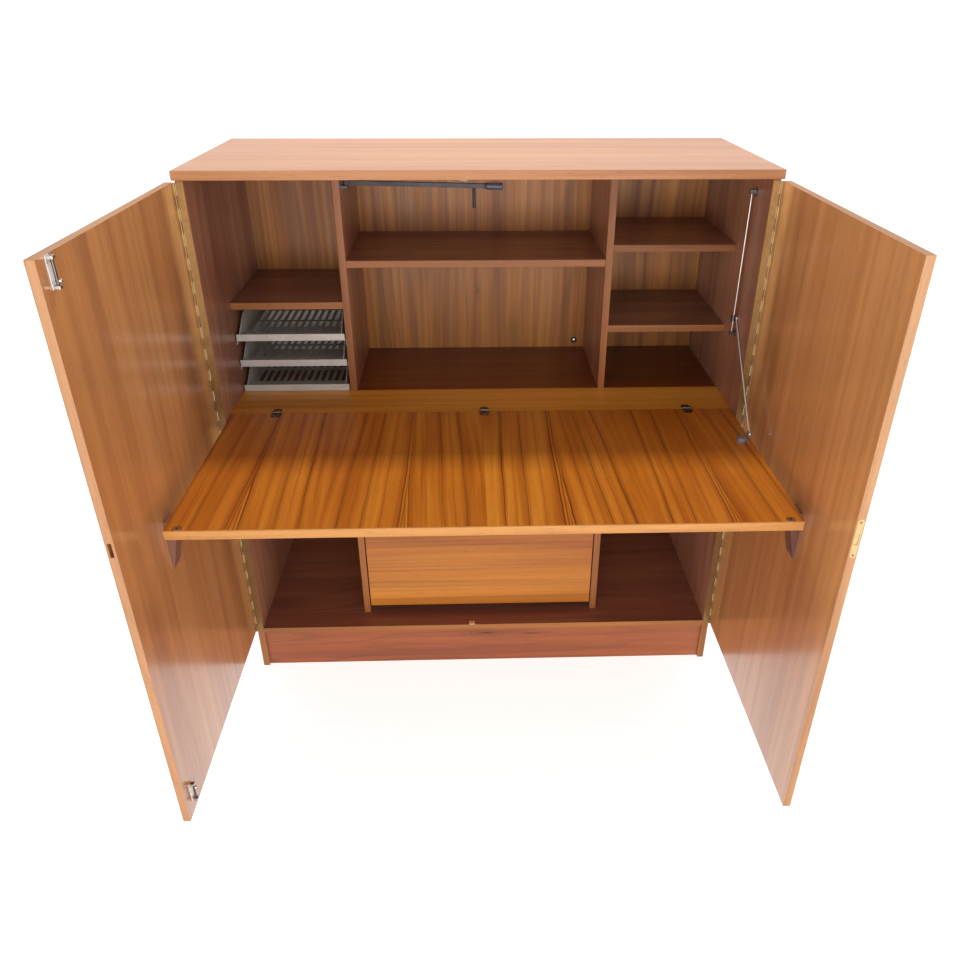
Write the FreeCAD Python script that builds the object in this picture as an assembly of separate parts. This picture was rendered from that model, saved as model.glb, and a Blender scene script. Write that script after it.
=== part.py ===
# Cabinet secretary desk with two hinged doors, a drop-front writing leaf, letter trays and drawers.
# Millimetres. X runs left to right, Y from front to back, Z up. Z = 0 is the floor.
# "Depth" is measured backwards from the front plane of the carcase, which stands at Y = FRONT.
import FreeCAD, Part
import os

os.makedirs("parts", exist_ok=True)

# carcase
TOP_WIDTH = 1200.0
TOP_DEPTH = 490.0
HEIGHT = 1246.0
TOP_THICK = 18.0
SIDE_OUTER = 593.0
BOARD = 16.0
GLIDE_HEIGHT = 3.0
GLIDE_RADIUS = 9.0
GLIDE_INSET = 40.0
BOTTOM_TOP = 129.0
PLINTH_SETBACK = 8.0
BACK_DEPTH = 475.0
BACK_THICK = 9.0
BACK_BOTTOM = 20.0
EDGE_ROUND = 0.8

# writing level and the compartments above it
FLOOR_TOP = 718.0
FLOOR_THICK = 18.0
FLOOR_FRONT = 44.0
DIVIDER_FRONT = 176.0
DIVIDER_X = (-312.0, 291.0)
SHELF_SETBACK = 1.0
LEFT_SHELF_TOP = 935.0
CENTRE_SHELF_TOP = 1029.0
RIGHT_UPPER_TOP = 1061.0
RIGHT_LOWER_TOP = 875.0
LOWER_DIVIDER_FRONT = 60.0

# doors, shown standing open at right angles to the front
DOOR_THICK = 15.0
DOOR_BOTTOM = 120.0
DOOR_TOP = 1226.0
MEETING_GAP = 1.0
PIN_OUT = 2.3
PIN_AHEAD = 1.5
KNUCKLE_R = 2.4
DOOR_PIN_R = 1.25
RUNNING = 0.05
PLATE_THICK = 1.2
KNUCKLE_PITCH = 24.0
KNUCKLE_COUNT = 46
KNUCKLE_GAP = 0.4
STRIP_START = 2.8
STRIP_END = 17.8
EDGE_STRIP_END = 15.5

# writing leaf, shown lowered
LEAF_HALF_WIDTH = 575.0
LEAF_THICK = 18.0
LEAF_BACK = 43.0
LEAF_FRONT = -462.0
LIPPING = 3.0
LEAF_AXIS_DEPTH = 43.5
LEAF_AXIS_RISE = 3.3
LEAF_HINGE_X = (-473.0, 3.0, 474.0)
LEAF_HINGE_WIDTH = 21.0
LEAF_PLATE = 23.5
LEAF_PLATE_START = 3.4
LEAF_HINGE_HOLES = ((-6.0, 10.0), (6.0, 10.0), (0.0, 18.0))
LEAF_KNUCKLE_R = 3.0
LEAF_PIN_R = 1.5
FIXED_KNUCKLES = ((0.0, 6.5), (14.5, 21.0))
MOVING_KNUCKLES = ((6.9, 14.1),)
CATCH_X = 552.0
CATCH_DEPTH = -452.0
CATCH_R = 8.5
CATCH_THICK = 0.8

# triangular leaf supports on the doors
SUPPORT_FRONT = -402.0
SUPPORT_THICK = 38.0
SUPPORT_REACH = 27.0
SUPPORT_TIP = 3.0
SUPPORT_DROP = 102.0
SUPPORT_GAP = 0.4

# folding stay on the right
GUIDE_X = 568.0
GUIDE_DEPTH = 93.0
GUIDE_R = 2.2
GUIDE_LOW = 884.0
GUIDE_HIGH = 1188.0
SLIDER_Z = 918.0
SLIDER_HALF = 7.0
ARM_X = (572.5, 575.5)
ARM_MID_X = 574.0
ARM_R = 1.8
ARM_NECK = 9.0
ARM_EYE_R = 4.5
ARM_GAP = 0.4
BOSS_GAP = 0.6
FOOT_DEPTH = -112.0
FOOT_Z = 727.0
FOOT_DISC_X = 555.0
FOOT_DISC_DEPTH = -126.0
FOOT_DISC_R = 11.0
FOOT_DISC_HEIGHT = 8.0

# letter trays
TRAY_CENTRE_X = -448.5
TRAY_HALF_FLOOR = 126.0
TRAY_HALF_WALL = 119.0
TRAY_BACK = 468.0
TRAY_Z = (844.5, 781.5, 718.5)
TRAY_LIP = 16.0
TRAY_WALL = 50.0
TRAY_RAMP = 56.0
SHEET = 1.2
SLOT_COUNT = 13
SLOT_PITCH = 17.0
SLOT_WIDTH = 9.5
SLOT_ROWS = ((238.0, 314.0), (329.0, 405.0))

# drawers
DRAWER_X = (-301.5, 280.5)
DRAWER_FRONT = 62.0
DRAWER_FRONT_Z = ((150.0, 411.0), (432.0, 693.0))
DRAWER_SIDE = 12.0
DRAWER_SIDE_IN = 1.5
DRAWER_BACK = 460.0
DRAWER_SIDE_DROP = 22.0
DRAWER_BASE = 6.0
RUNNER_TOP = 8.0
RUNNER_HEIGHT = 10.0
RUNNER_WIDTH = 14.0
RUNNER_CLEAR = 0.4

# slide bolts on the left door
BOLT_DEPTH = -563.0
BOLT_STANDOFF = 7.0
BOLT_R = 2.2
BOLT_PLATE_HALF = 6.0
BOLT_PLATE_THICK = 1.5
KNOB_R = 3.2
KNOB_OUT = 3.8
KEEP_THICK = 1.5
UPPER_PLATE = (1178.0, 1225.0)
LOWER_PLATE = (146.0, 193.0)
BOLT_BORE_R = 2.7
KEEP_HALF_WIDTH = 7.0
KEEP_DEPTH = (0.8, 12.8)

# mortise lock in the right door's edge
LOCK_Z = 767.0
FACE_WIDTH = 10.5
FACE_HEIGHT = 75.0
FACE_THICK = 2.0
CASE_THICK = 9.0
CASE_HEIGHT = 60.0
CASE_DEPTH = 38.0
LOCK_BOLT_THICK = 5.5
LOCK_BOLT_HEIGHT = 22.0
LOCK_CLEAR = 0.1
PLATE_CLEAR = 0.05
MORTISE_HEIGHT = 27.0
MORTISE_WIDTH = 6.5
MORTISE_DEPTH = 16.0
KEYHOLE_BACK = 21.0
ESCUTCHEON_R = 8.0
ESCUTCHEON_THICK = 1.5

# swing-out lamp
LAMP_PIVOT_X = -291.0
LAMP_PIVOT_DEPTH = 187.0
LAMP_LOW = 1189.0
LAMP_HIGH = 1198.0
LAMP_WIDTH = 10.0
LAMP_LENGTH = 342.0
LAMP_SWUNG = 8.5
LAMP_PIN_R = 2.0
SLEEVE_LENGTH = 33.0
SLEEVE_R = 8.5
BULB_R = 6.3
SWITCH_AT = 280.0
SWITCH_LOW = 1148.0
SWITCH_GAP = 0.8

# cable outlet in the back
OUTLET_X = 257.0
OUTLET_Z = 737.0
OUTLET_R = 6.0
OUTLET_BORE_R = 3.3

# derived positions
SIDE_INNER = SIDE_OUTER - BOARD
TOP_LOW = HEIGHT - TOP_THICK
AXIS_X = SIDE_OUTER + PIN_OUT
DOOR_INNER = AXIS_X + PIN_AHEAD
DOOR_OUTER = DOOR_INNER + DOOR_THICK
DOOR_NEAR = -(PIN_AHEAD + PIN_OUT)
DOOR_FAR = DOOR_NEAR - (SIDE_OUTER - MEETING_GAP)
FRONT = -(DOOR_FAR + TOP_DEPTH) / 2.0
LEAF_AXIS_Z = FLOOR_TOP + LEAF_AXIS_RISE
DOOR_MID = (DOOR_INNER + DOOR_OUTER) / 2.0
BOLT_X = -(DOOR_INNER - BOLT_STANDOFF)
BOLT_CLOSED_X = -AXIS_X + (-BOLT_DEPTH - PIN_AHEAD)
BOLT_CLOSED_DEPTH = BOLT_STANDOFF - 2.0 * PIN_AHEAD
HINGE_LOW = (DOOR_BOTTOM + DOOR_TOP - KNUCKLE_PITCH * KNUCKLE_COUNT) / 2.0

X_DIR = FreeCAD.Vector(1, 0, 0)
Y_DIR = FreeCAD.Vector(0, 1, 0)
Z_DIR = FreeCAD.Vector(0, 0, 1)


def point(x, depth, z):
    return FreeCAD.Vector(x, FRONT + depth, z)


def box(x0, x1, d0, d1, z0, z1):
    return Part.makeBox(x1 - x0, d1 - d0, z1 - z0, point(x0, d0, z0))


def board(x0, x1, d0, d1, z0, z1, radius=EDGE_ROUND):
    blank = box(x0, x1, d0, d1, z0, z1)
    return blank.makeFillet(radius, blank.Edges)


def rod(radius, length, x, depth, z, direction):
    return Part.makeCylinder(radius, length, point(x, depth, z), direction)


def prism(points, direction):
    wire = Part.makePolygon([point(*p) for p in points + [points[0]]])
    return Part.Face(wire).extrude(direction)


def mirrored(shape):
    return shape.mirror(FreeCAD.Vector(0, 0, 0), X_DIR)


def joined(shapes):
    whole = shapes[0].fuse(shapes[1:])
    return whole.removeSplitter()


def separate(shapes):
    return Part.makeCompound(shapes)


def save(name, shape):
    shape.exportStep("parts/" + name + ".step")


# ---- carcase boards ----

def top_panel():
    panel = board(-TOP_WIDTH / 2, TOP_WIDTH / 2, 0, TOP_DEPTH, TOP_LOW, HEIGHT, 1.2)
    bore_depth = TOP_THICK * 0.7
    return panel.cut(rod(BOLT_BORE_R, bore_depth, BOLT_CLOSED_X, BOLT_CLOSED_DEPTH, TOP_LOW, Z_DIR))


def side_board():
    return board(-SIDE_OUTER, -SIDE_INNER, 0, TOP_DEPTH, GLIDE_HEIGHT, TOP_LOW)


def bottom_shelf():
    low = BOTTOM_TOP - BOARD
    panel = board(-SIDE_INNER, SIDE_INNER, 0, BACK_DEPTH, low, BOTTOM_TOP)
    bore_depth = BOARD * 0.75
    top = BOTTOM_TOP - bore_depth
    return panel.cut(rod(BOLT_BORE_R, bore_depth, BOLT_CLOSED_X, BOLT_CLOSED_DEPTH, top, Z_DIR))


def plinth():
    back = PLINTH_SETBACK + BOARD
    return board(-SIDE_INNER, SIDE_INNER, PLINTH_SETBACK, back, GLIDE_HEIGHT, BOTTOM_TOP - BOARD)


def back_panel():
    rear = BACK_DEPTH + BACK_THICK
    panel = box(-SIDE_INNER, SIDE_INNER, BACK_DEPTH, rear, BACK_BOTTOM, TOP_LOW)
    return panel.cut(rod(OUTLET_R, BACK_THICK, OUTLET_X, BACK_DEPTH, OUTLET_Z, Y_DIR))


def writing_floor():
    low = FLOOR_TOP - FLOOR_THICK
    return board(-SIDE_INNER, SIDE_INNER, FLOOR_FRONT, BACK_DEPTH, low, FLOOR_TOP, 0.5)


def upright(centre_x, front, low, high):
    half = BOARD / 2
    return board(centre_x - half, centre_x + half, front, BACK_DEPTH, low, high)


def shelf(x0, x1, top):
    front = DIVIDER_FRONT + SHELF_SETBACK
    return board(x0, x1, front, BACK_DEPTH, top - BOARD, top)


def floor_glides():
    glides = []
    for x in (-SIDE_OUTER + BOARD / 2, SIDE_OUTER - BOARD / 2):
        for depth in (GLIDE_INSET, TOP_DEPTH - GLIDE_INSET):
            disc = rod(BOARD / 2 - 0.5, GLIDE_HEIGHT, x, depth, 0, Z_DIR)
            glides.append(disc.makeFillet(1.0, [disc.Edges[2]]))
    return separate(glides)


def carcase_boards():
    half = BOARD / 2
    left_face = DIVIDER_X[0] + half
    right_face = DIVIDER_X[1] - half
    save("top_panel", top_panel())
    save("left_side", side_board())
    save("right_side", mirrored(side_board()))
    save("bottom_shelf", bottom_shelf())
    save("plinth", plinth())
    save("back_panel", back_panel())
    save("writing_floor", writing_floor())
    save("left_divider", upright(DIVIDER_X[0], DIVIDER_FRONT, FLOOR_TOP, TOP_LOW))
    save("right_divider", upright(DIVIDER_X[1], DIVIDER_FRONT, FLOOR_TOP, TOP_LOW))
    save("left_shelf", shelf(-SIDE_INNER, DIVIDER_X[0] - half, LEFT_SHELF_TOP))
    save("centre_shelf", shelf(left_face, right_face, CENTRE_SHELF_TOP))
    save("right_upper_shelf", shelf(DIVIDER_X[1] + half, SIDE_INNER, RIGHT_UPPER_TOP))
    save("right_lower_shelf", shelf(DIVIDER_X[1] + half, SIDE_INNER, RIGHT_LOWER_TOP))
    floor_low = FLOOR_TOP - FLOOR_THICK
    save("lower_left_divider", upright(DIVIDER_X[0], LOWER_DIVIDER_FRONT, BOTTOM_TOP, floor_low))
    save("lower_right_divider", upright(DIVIDER_X[1], LOWER_DIVIDER_FRONT, BOTTOM_TOP, floor_low))
    save("floor_glides", floor_glides())


# ---- piano hinges ----

def knuckle_spans(first):
    spans = []
    for index in range(first, KNUCKLE_COUNT, 2):
        low = HINGE_LOW + index * KNUCKLE_PITCH + KNUCKLE_GAP / 2
        spans.append((low, low + KNUCKLE_PITCH - KNUCKLE_GAP))
    return spans


def hinge_pin():
    length = KNUCKLE_PITCH * KNUCKLE_COUNT
    return rod(DOOR_PIN_R, length, -AXIS_X, -PIN_AHEAD, HINGE_LOW, Z_DIR)


def hinge_leaf(first, tab, strip):
    pieces = [strip]
    for low, high in knuckle_spans(first):
        pieces.append(rod(KNUCKLE_R, high - low, -AXIS_X, -PIN_AHEAD, low, Z_DIR))
        pieces.append(box(tab[0], tab[1], tab[2], tab[3], low, high))
    whole = joined(pieces)
    length = KNUCKLE_PITCH * KNUCKLE_COUNT
    bore = rod(DOOR_PIN_R + RUNNING, length, -AXIS_X, -PIN_AHEAD, HINGE_LOW, Z_DIR)
    return whole.cut(bore)


def fixed_hinge_leaf():
    high = HINGE_LOW + KNUCKLE_PITCH * KNUCKLE_COUNT
    near = -AXIS_X + STRIP_START
    far = -AXIS_X + STRIP_END
    strip = box(near, far, -PLATE_THICK, 0, HINGE_LOW, high)
    tab = (-AXIS_X, near + 1.0, -PLATE_THICK, 0)
    return hinge_leaf(0, tab, strip)


def door_hinge_leaf():
    high = HINGE_LOW + KNUCKLE_PITCH * KNUCKLE_COUNT
    near = -AXIS_X - STRIP_START
    far = -AXIS_X - EDGE_STRIP_END
    strip = box(far, near, DOOR_NEAR, DOOR_NEAR + PLATE_THICK, HINGE_LOW, high)
    tab = (near - 1.0, -AXIS_X, DOOR_NEAR, DOOR_NEAR + PLATE_THICK)
    return hinge_leaf(1, tab, strip)


# ---- doors ----

def door_board():
    return board(-DOOR_OUTER, -DOOR_INNER, DOOR_FAR, DOOR_NEAR, DOOR_BOTTOM, DOOR_TOP, 1.0)


def left_door():
    half = MORTISE_WIDTH / 2
    low = LOCK_Z - MORTISE_HEIGHT / 2
    mortise = box(-DOOR_MID - half, -DOOR_MID + half, DOOR_FAR, DOOR_FAR + MORTISE_DEPTH,
                  low, low + MORTISE_HEIGHT)
    return door_board().cut(mortise)


def keyhole(length, start_x):
    depth = DOOR_FAR + KEYHOLE_BACK
    ring = rod(2.2, length, start_x, depth, LOCK_Z, X_DIR)
    slot = box(start_x, start_x + length, depth - 1.0, depth + 1.0, LOCK_Z - 7.0, LOCK_Z)
    return ring.fuse(slot)


def right_door():
    face_low = LOCK_Z - FACE_HEIGHT / 2
    half_face = FACE_WIDTH / 2
    half_case = CASE_THICK / 2 + LOCK_CLEAR
    face_back = DOOR_FAR + FACE_THICK
    x0 = DOOR_MID - half_face - PLATE_CLEAR
    x1 = DOOR_MID + half_face + PLATE_CLEAR
    face = lock_plate(x0, x1, face_low - PLATE_CLEAR, FACE_HEIGHT + 2 * PLATE_CLEAR)
    case_low = LOCK_Z - CASE_HEIGHT / 2 - LOCK_CLEAR
    case_high = LOCK_Z + CASE_HEIGHT / 2 + LOCK_CLEAR
    pocket = box(DOOR_MID - half_case, DOOR_MID + half_case, face_back - 0.5,
                 face_back + CASE_DEPTH + LOCK_CLEAR, case_low, case_high)
    depth = DOOR_FAR + KEYHOLE_BACK
    plate = rod(ESCUTCHEON_R, ESCUTCHEON_THICK, DOOR_OUTER - ESCUTCHEON_THICK, depth, LOCK_Z, X_DIR)
    opening = keyhole(DOOR_OUTER - DOOR_MID, DOOR_MID)
    return mirrored(door_board()).cut([face, pocket, plate, opening])


def lock_plate(x0, x1, low, height):
    radius = (x1 - x0) / 2
    middle = box(x0, x1, DOOR_FAR, DOOR_FAR + FACE_THICK, low + radius, low + height - radius)
    ends = []
    for z in (low + radius, low + height - radius):
        ends.append(rod(radius, FACE_THICK, (x0 + x1) / 2, DOOR_FAR, z, Y_DIR))
    return joined([middle] + ends)


def lock_faceplate():
    half = FACE_WIDTH / 2
    low = LOCK_Z - FACE_HEIGHT / 2
    plate = lock_plate(DOOR_MID - half, DOOR_MID + half, low, FACE_HEIGHT)
    half_thick = LOCK_BOLT_THICK / 2 + LOCK_CLEAR
    half_high = LOCK_BOLT_HEIGHT / 2 + LOCK_CLEAR
    opening = box(DOOR_MID - half_thick, DOOR_MID + half_thick, DOOR_FAR, DOOR_FAR + FACE_THICK,
                  LOCK_Z - half_high, LOCK_Z + half_high)
    return plate.cut(opening)


def lock_case():
    half = CASE_THICK / 2
    front = DOOR_FAR + FACE_THICK
    high = LOCK_Z + CASE_HEIGHT / 2
    low = LOCK_Z - CASE_HEIGHT / 2
    shell = box(DOOR_MID - half, DOOR_MID + half, front, front + CASE_DEPTH, low, high)
    inner = LOCK_BOLT_THICK / 2 + LOCK_CLEAR
    hollow = box(DOOR_MID - inner, DOOR_MID + inner, front, front + CASE_DEPTH - 1.0, low + 3, high - 3)
    return shell.cut([hollow, keyhole(half, DOOR_MID)])


def lock_bolt():
    half = LOCK_BOLT_THICK / 2
    front = DOOR_FAR + 0.5
    rear = DOOR_FAR + FACE_THICK + 14.0
    low = LOCK_Z - LOCK_BOLT_HEIGHT / 2
    return board(DOOR_MID - half, DOOR_MID + half, front, rear, low, low + LOCK_BOLT_HEIGHT, 0.4)


def key_escutcheon():
    depth = DOOR_FAR + KEYHOLE_BACK
    start = DOOR_OUTER - ESCUTCHEON_THICK
    plate = rod(ESCUTCHEON_R, ESCUTCHEON_THICK, start, depth, LOCK_Z, X_DIR)
    return plate.cut(keyhole(ESCUTCHEON_THICK, start))


def leaf_support():
    high = FLOOR_TOP - LEAF_THICK - SUPPORT_GAP
    low = high - SUPPORT_DROP
    face = -DOOR_INNER
    outline = [(face, SUPPORT_FRONT, high), (face + SUPPORT_REACH, SUPPORT_FRONT, high),
               (face + SUPPORT_TIP, SUPPORT_FRONT, low), (face, SUPPORT_FRONT, low)]
    return prism(outline, FreeCAD.Vector(0, SUPPORT_THICK, 0))


def bolt_plate(low, high):
    face = -DOOR_INNER
    d0 = BOLT_DEPTH - BOLT_PLATE_HALF
    d1 = BOLT_DEPTH + BOLT_PLATE_HALF
    plate = board(face, face + BOLT_PLATE_THICK, d0, d1, low, high, 0.4)
    loops = []
    for z in (low + 0.5, high - 5.5):
        loops.append(board(face + BOLT_PLATE_THICK / 2, BOLT_X + BOLT_R + 1.5, BOLT_DEPTH - 4.5,
                           BOLT_DEPTH + 4.5, z, z + 5.0, 0.6))
    bore = rod(BOLT_R + RUNNING, high - low, BOLT_X, BOLT_DEPTH, low, Z_DIR)
    return joined([plate] + loops).cut(bore)


def slide_bolt(low, high, knob_z):
    shaft = rod(BOLT_R, high - low, BOLT_X, BOLT_DEPTH, low, Z_DIR)
    shaft = shaft.makeChamfer(0.6, [shaft.Edges[0], shaft.Edges[2]])
    neck = rod(1.8, KNOB_OUT, BOLT_X, BOLT_DEPTH, knob_z, X_DIR)
    knob = Part.makeSphere(KNOB_R, point(BOLT_X + KNOB_OUT, BOLT_DEPTH, knob_z))
    return joined([shaft, neck, knob])


def bolt_keeps():
    x0 = BOLT_CLOSED_X - KEEP_HALF_WIDTH
    x1 = BOLT_CLOSED_X + KEEP_HALF_WIDTH
    keeps = []
    for low in (BOTTOM_TOP, TOP_LOW - KEEP_THICK):
        keep = box(x0, x1, KEEP_DEPTH[0], KEEP_DEPTH[1], low, low + KEEP_THICK)
        hole = rod(BOLT_BORE_R, KEEP_THICK, BOLT_CLOSED_X, BOLT_CLOSED_DEPTH, low, Z_DIR)
        keeps.append(keep.cut(hole))
    return separate(keeps)


def door_sets():
    save("left_hinge_fixed_leaf", fixed_hinge_leaf())
    save("right_hinge_fixed_leaf", mirrored(fixed_hinge_leaf()))
    save("left_hinge_door_leaf", door_hinge_leaf())
    save("right_hinge_door_leaf", mirrored(door_hinge_leaf()))
    save("door_hinge_pins", separate([hinge_pin(), mirrored(hinge_pin())]))
    save("left_door", left_door())
    save("right_door", right_door())
    save("left_leaf_support", leaf_support())
    save("right_leaf_support", mirrored(leaf_support()))
    save("bolt_plates", separate([bolt_plate(*UPPER_PLATE), bolt_plate(*LOWER_PLATE)]))
    save("upper_bolt", slide_bolt(UPPER_PLATE[0] + 2, UPPER_PLATE[1] - 1, 1190.0))
    save("lower_bolt", slide_bolt(LOWER_PLATE[0] + 1, LOWER_PLATE[1] - 2, 181.0))
    save("bolt_keeps", bolt_keeps())
    save("lock_faceplate", lock_faceplate())
    save("lock_case", lock_case())
    save("lock_bolt", lock_bolt())
    save("key_escutcheon", key_escutcheon())


# ---- writing leaf and its hinges ----

def writing_leaf():
    low = FLOOR_TOP - LEAF_THICK
    return box(-LEAF_HALF_WIDTH, LEAF_HALF_WIDTH, LEAF_FRONT + LIPPING, LEAF_BACK, low, FLOOR_TOP)


def leaf_lipping():
    low = FLOOR_TOP - LEAF_THICK
    strip = box(-LEAF_HALF_WIDTH, LEAF_HALF_WIDTH, LEAF_FRONT, LEAF_FRONT + LIPPING, low, FLOOR_TOP)
    front = [e for e in strip.Edges if e.CenterOfMass.y < FRONT + LEAF_FRONT + 0.1]
    return strip.makeFillet(1.2, front)


def leaf_catch_plates():
    plates = []
    for x in (-CATCH_X, CATCH_X):
        disc = rod(CATCH_R, CATCH_THICK, x, CATCH_DEPTH, FLOOR_TOP, Z_DIR)
        hole = rod(1.8, CATCH_THICK, x, CATCH_DEPTH, FLOOR_TOP, Z_DIR)
        plates.append(disc.cut(hole))
    return separate(plates)


def leaf_hinge_half(x, d0, d1, spans, tab):
    half = LEAF_HINGE_WIDTH / 2
    away = 1 if d0 > LEAF_AXIS_DEPTH else -1
    end = LEAF_AXIS_DEPTH + away * (LEAF_PLATE - half)
    near = LEAF_AXIS_DEPTH + away * LEAF_PLATE_START
    s0, s1 = sorted((near, end))
    square = box(x - half, x + half, s0, s1, FLOOR_TOP, FLOOR_TOP + PLATE_THICK)
    disc = rod(half, PLATE_THICK, x, end, FLOOR_TOP, Z_DIR)
    outline = box(x - half, x + half, d0, d1, FLOOR_TOP, FLOOR_TOP + PLATE_THICK)
    pieces = [square.fuse(disc).common(outline)]
    for low, high in spans:
        start = x - half + low
        length = high - low
        pieces.append(rod(LEAF_KNUCKLE_R, length, start, LEAF_AXIS_DEPTH, LEAF_AXIS_Z, X_DIR))
        pieces.append(box(start, start + length, tab[0], tab[1], FLOOR_TOP + 0.1,
                          FLOOR_TOP + PLATE_THICK))
    bore = rod(LEAF_PIN_R + RUNNING, LEAF_HINGE_WIDTH, x - half, LEAF_AXIS_DEPTH, LEAF_AXIS_Z, X_DIR)
    whole = joined(pieces).cut(bore)
    holes = []
    for dx, out in LEAF_HINGE_HOLES:
        holes.append(rod(1.6, PLATE_THICK, x + dx, LEAF_AXIS_DEPTH + away * out, FLOOR_TOP, Z_DIR))
    return whole.cut(holes)


def leaf_hinges():
    near = LEAF_PLATE_START
    fixed = []
    moving = []
    pins = []
    for x in LEAF_HINGE_X:
        d0 = LEAF_AXIS_DEPTH + near
        fixed.append(leaf_hinge_half(x, d0, LEAF_AXIS_DEPTH + LEAF_PLATE, FIXED_KNUCKLES,
                                     (LEAF_AXIS_DEPTH, d0 + 1.0)))
        d1 = LEAF_AXIS_DEPTH - near
        moving.append(leaf_hinge_half(x, LEAF_AXIS_DEPTH - LEAF_PLATE, d1, MOVING_KNUCKLES,
                                      (d1 - 1.0, LEAF_AXIS_DEPTH)))
        pins.append(rod(LEAF_PIN_R, LEAF_HINGE_WIDTH, x - LEAF_HINGE_WIDTH / 2, LEAF_AXIS_DEPTH,
                        LEAF_AXIS_Z, X_DIR))
    save("leaf_hinge_fixed_plates", separate(fixed))
    save("leaf_hinge_moving_plates", separate(moving))
    save("leaf_hinge_pins", separate(pins))


# ---- sliding stay ----

def stay_rod():
    length = GUIDE_HIGH - GUIDE_LOW
    return rod(GUIDE_R, length, GUIDE_X, GUIDE_DEPTH, GUIDE_LOW, Z_DIR)


def stay_brackets():
    brackets = []
    for low, high in ((GUIDE_LOW - 4.0, GUIDE_LOW + 4.0), (GUIDE_HIGH - 4.0, GUIDE_HIGH + 6.0)):
        block = board(GUIDE_X - 4.5, SIDE_INNER, GUIDE_DEPTH - 4.5, GUIDE_DEPTH + 4.5, low, high, 0.8)
        plate = rod(9.0, 1.5, SIDE_INNER - 1.5, GUIDE_DEPTH, (low + high) / 2, X_DIR)
        socket = rod(GUIDE_R + RUNNING, GUIDE_HIGH - GUIDE_LOW, GUIDE_X, GUIDE_DEPTH, GUIDE_LOW, Z_DIR)
        brackets.append(joined([block, plate]).cut(socket))
    return separate(brackets)


def stay_slider():
    low = SLIDER_Z - SLIDER_HALF
    block = rod(4.4, 2 * SLIDER_HALF, GUIDE_X - 1.0, GUIDE_DEPTH, low, Z_DIR)
    boss = rod(4.2, ARM_X[0] - BOSS_GAP - GUIDE_X, GUIDE_X, GUIDE_DEPTH, SLIDER_Z, X_DIR)
    bore = rod(GUIDE_R + RUNNING, 2 * SLIDER_HALF, GUIDE_X, GUIDE_DEPTH, low, Z_DIR)
    return joined([block, boss]).cut(bore)


def stay_arm():
    foot = point(ARM_MID_X, FOOT_DEPTH, FOOT_Z)
    head = point(ARM_MID_X, GUIDE_DEPTH, SLIDER_Z)
    run = (head - foot).normalize()
    across = X_DIR.cross(run) * ARM_R
    inward = FreeCAD.Vector(ARM_X[0] - ARM_MID_X, 0, 0)
    thick = FreeCAD.Vector(ARM_X[1] - ARM_X[0], 0, 0)
    length = foot.distanceToPoint(head) - 2 * ARM_NECK
    pieces = [Part.makeCylinder(ARM_R, length, foot + run * ARM_NECK, run)]
    for centre, way in ((foot, run), (head, run * -1)):
        corners = [centre - across, centre + across, centre + across + way * (ARM_NECK + 1.0),
                   centre - across + way * (ARM_NECK + 1.0), centre - across]
        neck = Part.Face(Part.makePolygon([corner + inward for corner in corners]))
        pieces.append(neck.extrude(thick))
        pieces.append(Part.makeCylinder(ARM_EYE_R, thick.x, centre + inward, X_DIR))
    pieces.append(rod(3.0, 1.0, ARM_X[1], GUIDE_DEPTH, SLIDER_Z, X_DIR))
    bore = rod(1.5 + RUNNING, thick.x, ARM_X[0], FOOT_DEPTH, FOOT_Z, X_DIR)
    return joined(pieces).cut(bore)


def stay_foot():
    disc = rod(FOOT_DISC_R, FOOT_DISC_HEIGHT, FOOT_DISC_X, FOOT_DISC_DEPTH, FLOOR_TOP, Z_DIR)
    disc = disc.makeFillet(2.5, [disc.Edges[0]])
    lug_end = ARM_X[0] - ARM_GAP
    lug_front = FOOT_DEPTH - 5.0
    lug_back = FOOT_DEPTH + 5.0
    lug = board(lug_end - 2.8, lug_end, lug_front, lug_back, FLOOR_TOP, FOOT_Z + 5.0, 0.5)
    bridge = prism([(FOOT_DISC_X - 2, FOOT_DISC_DEPTH - 5, FLOOR_TOP),
                    (lug_end - 1.0, lug_front, FLOOR_TOP),
                    (lug_end - 1.0, lug_back, FLOOR_TOP),
                    (FOOT_DISC_X - 2, FOOT_DISC_DEPTH + 8, FLOOR_TOP)], FreeCAD.Vector(0, 0, 2.0))
    pin = rod(1.5, ARM_X[1] - lug_end + 1.6, lug_end - 1.2, FOOT_DEPTH, FOOT_Z, X_DIR)
    head = rod(2.8, 0.8, ARM_X[1] + ARM_GAP, FOOT_DEPTH, FOOT_Z, X_DIR)
    return joined([disc, lug, bridge, pin, head])


def leaf_sets():
    save("writing_leaf", writing_leaf())
    save("leaf_lipping", leaf_lipping())
    save("leaf_catch_plates", leaf_catch_plates())
    leaf_hinges()
    save("stay_rod", stay_rod())
    save("stay_brackets", stay_brackets())
    save("stay_slider", stay_slider())
    save("stay_arm", stay_arm())
    save("stay_foot", stay_foot())


# ---- letter trays ----

def tray_wall(x, z):
    outline = [(x, DIVIDER_FRONT, z), (x, TRAY_BACK, z), (x, TRAY_BACK, z + TRAY_WALL),
               (x, DIVIDER_FRONT + TRAY_RAMP, z + TRAY_WALL), (x, DIVIDER_FRONT, z + TRAY_LIP)]
    return prism(outline, FreeCAD.Vector(SHEET, 0, 0))


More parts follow.
